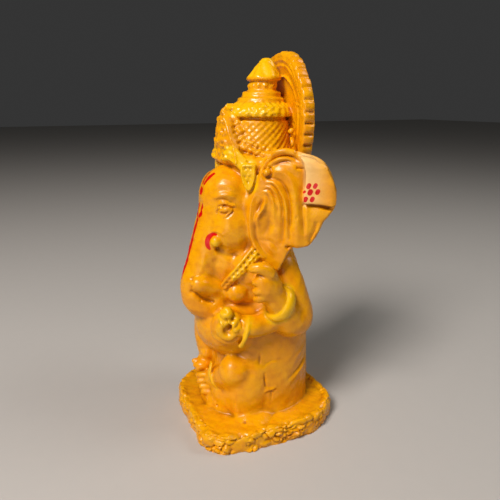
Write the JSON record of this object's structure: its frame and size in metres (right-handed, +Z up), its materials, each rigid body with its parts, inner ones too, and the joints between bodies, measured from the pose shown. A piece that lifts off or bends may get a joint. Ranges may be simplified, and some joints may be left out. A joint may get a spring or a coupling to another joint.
{
  "type": "ganesha statue",
  "caption": "Small painted plaster figure of a seated elephant-headed deity with a tiered crown, a ribbed halo and a rounded base.",
  "frame": {"origin": "middle of the base's flat underside, on the surface it stands on", "axes": "+Z up, the figure faces -Y, its left side is +X"},
  "size_m": [0.0656, 0.0623, 0.15],
  "materials": {
    "painted_plaster": "gloss ochre-gold paint over cast plaster, with brighter gold trim and red marks"
  },
  "bodies": {
    "root": {"ganesha_statue": "painted_plaster"}
  },
  "joints": []
}
